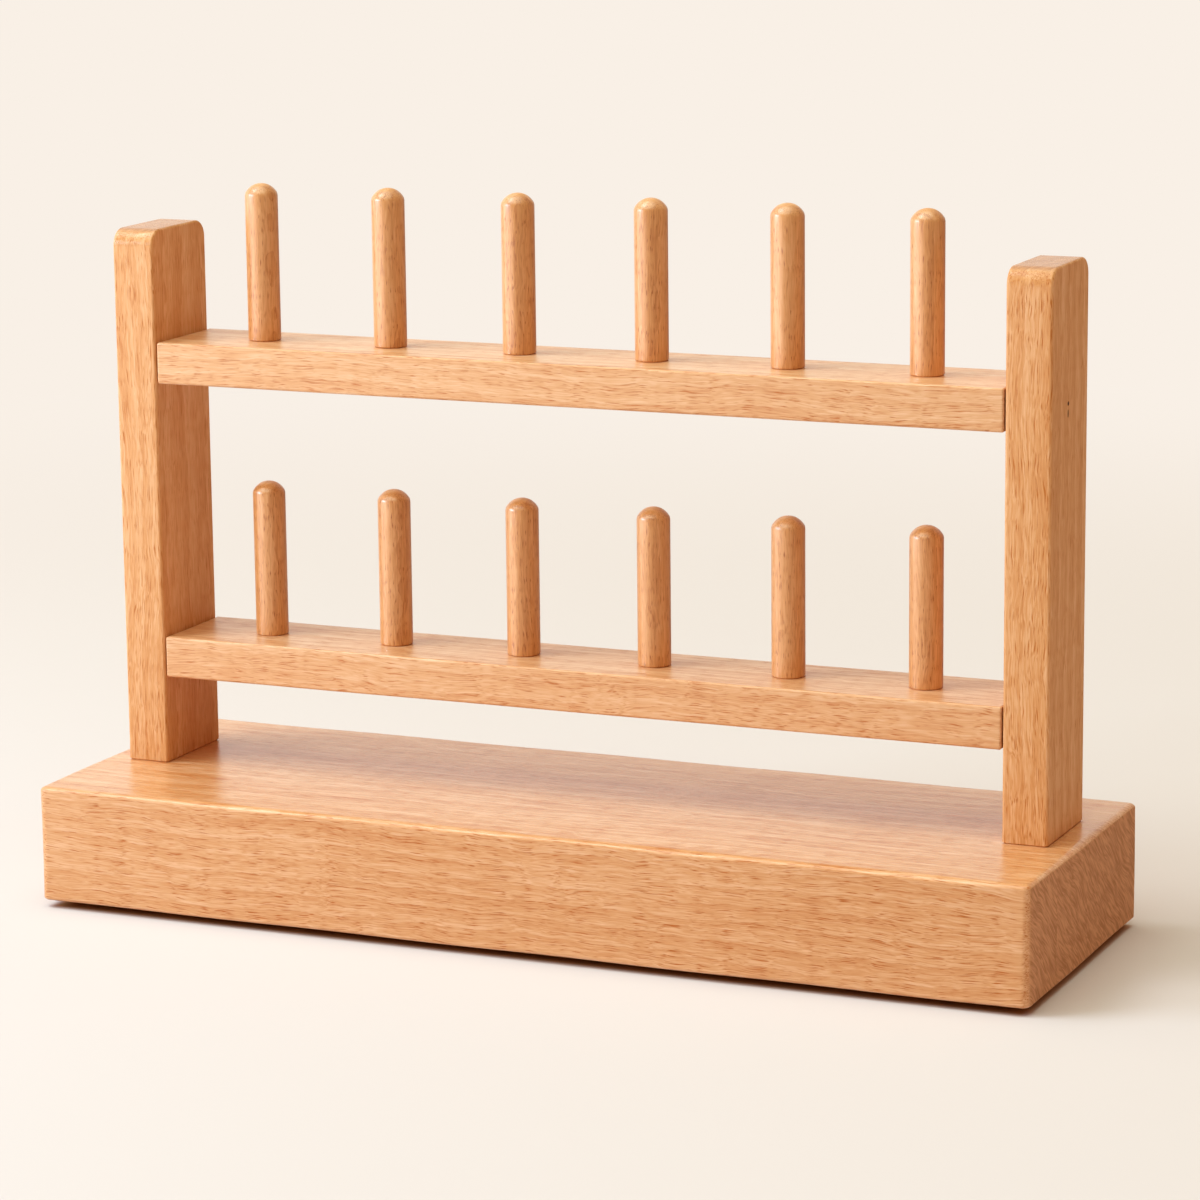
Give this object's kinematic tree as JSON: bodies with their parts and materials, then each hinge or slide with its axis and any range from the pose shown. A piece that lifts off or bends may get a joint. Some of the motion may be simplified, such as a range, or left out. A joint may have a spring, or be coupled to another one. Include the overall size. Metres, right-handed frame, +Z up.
{
  "type": "thread stand",
  "caption": "Free-standing beech thread stand: two rails of upright domed pegs for spools, one above the other, carried by two posts on a solid base with eased edges.",
  "frame": {"origin": "on the table, below the middle of the base", "axes": "+X along the rails to the right as seen from the front, +Y to the back, +Z up"},
  "size_m": [0.3, 0.097, 0.2065],
  "materials": {
    "beech_block": "satin clear lacquer",
    "beech_strip": "satin clear lacquer",
    "beech_peg": "satin clear lacquer",
    "beech_dowel": "bare wood",
    "zinc_screw": "zinc plated",
    "rubber_pad": "matt black rubber"
  },
  "bodies": {
    "stand": {"base": "beech_block", "left_post": "beech_strip", "right_post": "beech_strip", "upper_rail": "beech_strip", "lower_rail": "beech_strip", "upper_rail_left_dowels": "beech_dowel", "upper_rail_right_dowels": "beech_dowel", "lower_rail_left_dowels": "beech_dowel", "lower_rail_right_dowels": "beech_dowel", "left_post_screws": "zinc_screw", "right_post_screws": "zinc_screw", "front_left_pad": "rubber_pad", "front_right_pad": "rubber_pad", "back_left_pad": "rubber_pad", "back_right_pad": "rubber_pad"},
    "upper_peg_1": {"upper_peg_1": "beech_peg"},
    "upper_peg_2": {"upper_peg_2": "beech_peg"},
    "upper_peg_3": {"upper_peg_3": "beech_peg"},
    "upper_peg_4": {"upper_peg_4": "beech_peg"},
    "upper_peg_5": {"upper_peg_5": "beech_peg"},
    "upper_peg_6": {"upper_peg_6": "beech_peg"},
    "lower_peg_1": {"lower_peg_1": "beech_peg"},
    "lower_peg_2": {"lower_peg_2": "beech_peg"},
    "lower_peg_3": {"lower_peg_3": "beech_peg"},
    "lower_peg_4": {"lower_peg_4": "beech_peg"},
    "lower_peg_5": {"lower_peg_5": "beech_peg"},
    "lower_peg_6": {"lower_peg_6": "beech_peg"}
  },
  "joints": [
    {"name": "upper_peg_1_lift", "type": "slide", "parent": "stand", "child": "upper_peg_1", "axis": [0, 0, 1], "range_m": [0, 0.012]},
    {"name": "upper_peg_2_lift", "type": "slide", "parent": "stand", "child": "upper_peg_2", "axis": [0, 0, 1], "range_m": [0, 0.012]},
    {"name": "upper_peg_3_lift", "type": "slide", "parent": "stand", "child": "upper_peg_3", "axis": [0, 0, 1], "range_m": [0, 0.012]},
    {"name": "upper_peg_4_lift", "type": "slide", "parent": "stand", "child": "upper_peg_4", "axis": [0, 0, 1], "range_m": [0, 0.012]},
    {"name": "upper_peg_5_lift", "type": "slide", "parent": "stand", "child": "upper_peg_5", "axis": [0, 0, 1], "range_m": [0, 0.012]},
    {"name": "upper_peg_6_lift", "type": "slide", "parent": "stand", "child": "upper_peg_6", "axis": [0, 0, 1], "range_m": [0, 0.012]},
    {"name": "lower_peg_1_lift", "type": "slide", "parent": "stand", "child": "lower_peg_1", "axis": [0, 0, 1], "range_m": [0, 0.012]},
    {"name": "lower_peg_2_lift", "type": "slide", "parent": "stand", "child": "lower_peg_2", "axis": [0, 0, 1], "range_m": [0, 0.012]},
    {"name": "lower_peg_3_lift", "type": "slide", "parent": "stand", "child": "lower_peg_3", "axis": [0, 0, 1], "range_m": [0, 0.012]},
    {"name": "lower_peg_4_lift", "type": "slide", "parent": "stand", "child": "lower_peg_4", "axis": [0, 0, 1], "range_m": [0, 0.012]},
    {"name": "lower_peg_5_lift", "type": "slide", "parent": "stand", "child": "lower_peg_5", "axis": [0, 0, 1], "range_m": [0, 0.012]},
    {"name": "lower_peg_6_lift", "type": "slide", "parent": "stand", "child": "lower_peg_6", "axis": [0, 0, 1], "range_m": [0, 0.012]}
  ]
}
